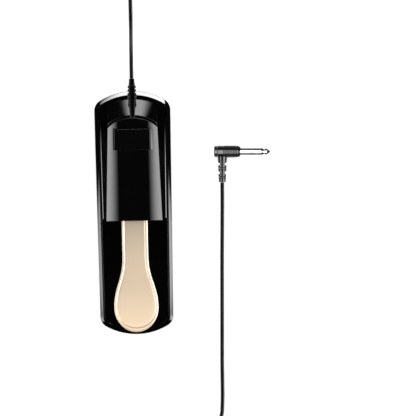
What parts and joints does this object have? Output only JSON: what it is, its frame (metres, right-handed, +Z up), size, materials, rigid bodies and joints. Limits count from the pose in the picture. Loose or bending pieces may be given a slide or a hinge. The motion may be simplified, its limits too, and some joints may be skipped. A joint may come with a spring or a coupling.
{
  "type": "sustain pedal",
  "caption": "Piano-style sustain foot pedal: sprung metal lever in a glossy black hooded housing, with cord and right-angle phone plug.",
  "frame": {"origin": "under the middle of the housing, on the surface it stands on", "axes": "+Z up, +Y towards the end where the cord leaves, +X to the right of a player whose foot comes from -Y"},
  "size_m": [0.2816, 0.4701, 0.06],
  "materials": {
    "gloss_abs": "high-gloss moulded ABS",
    "rubber": "ribbed anti-slip rubber",
    "boot_pvc": "soft moulded PVC",
    "plug_abs": "satin moulded, knurled",
    "plug_nickel": "polished nickel plate",
    "cord_pvc": "semi-gloss PVC jacket",
    "tie": "hook-and-loop strap",
    "lever_metal": "champagne-tinted plated steel, finely polished",
    "zinc_steel": "zinc-plated",
    "spring_steel": "bright",
    "nylon": "natural nylon",
    "switch_plastic": "moulded phenolic",
    "brass": "bright",
    "felt": "pressed felt"
  },
  "bodies": {
    "housing": {"rubber_mat": "rubber", "base_plate": "zinc_steel", "main_case": "gloss_abs", "top_cover": "gloss_abs", "label_plate": "gloss_abs", "case_screw_front_left": "zinc_steel", "case_screw_front_right": "zinc_steel", "case_screw_rear_left": "zinc_steel", "case_screw_rear_right": "zinc_steel", "pivot_stand": "zinc_steel", "pivot_pin": "spring_steel", "pivot_clip_left": "spring_steel", "pivot_clip_right": "spring_steel", "stand_screw_front": "zinc_steel", "stand_screw_rear": "zinc_steel", "return_spring": "spring_steel", "spring_seat": "nylon", "rest_pad": "felt", "press_pad": "rubber", "switch_body": "switch_plastic", "switch_bracket": "zinc_steel", "switch_screw_left": "zinc_steel", "switch_screw_right": "zinc_steel", "switch_terminal_left": "brass", "switch_terminal_right": "brass", "switch_wire_left": "cord_pvc", "switch_wire_right": "cord_pvc", "cord_inner": "cord_pvc", "cord_clamp": "nylon", "clamp_screw_left": "zinc_steel", "clamp_screw_right": "zinc_steel", "rear_boot": "boot_pvc", "cord_rear": "cord_pvc", "cord_hank": "cord_pvc", "hank_tie": "tie", "cord_front": "cord_pvc", "plug_boot": "boot_pvc", "plug_barrel": "plug_abs", "plug_cap": "plug_abs", "plug_sleeve": "plug_nickel", "plug_insulator": "plug_abs", "plug_tip": "plug_nickel"},
    "lever": {"lever": "lever_metal", "lever_bracket": "zinc_steel", "lever_rivet_front": "zinc_steel", "lever_rivet_rear": "zinc_steel", "pivot_bush_left": "nylon", "pivot_bush_right": "nylon", "spring_guide": "nylon"},
    "switch_button": {"switch_plunger": "nylon"}
  },
  "joints": [
    {"name": "lever_hinge", "type": "hinge", "parent": "housing", "child": "lever", "pos_m": [0, 0.056, 0.03], "axis": [1, 0, 0], "range_deg": [0, 6], "stiffness_Nm_per_rad": 6, "springref_deg": -20.05, "deforming": ["return_spring"]},
    {"name": "switch_slide", "type": "slide", "parent": "housing", "child": "switch_button", "axis": [0, 0, -1], "range_m": [0, 0.0015], "stiffness_N_per_m": 150, "springref_m": -0.004}
  ],
  "couplings": [
    {"joint": "switch_slide", "follows": "lever_hinge", "m_per_rad": 0.014}
  ]
}
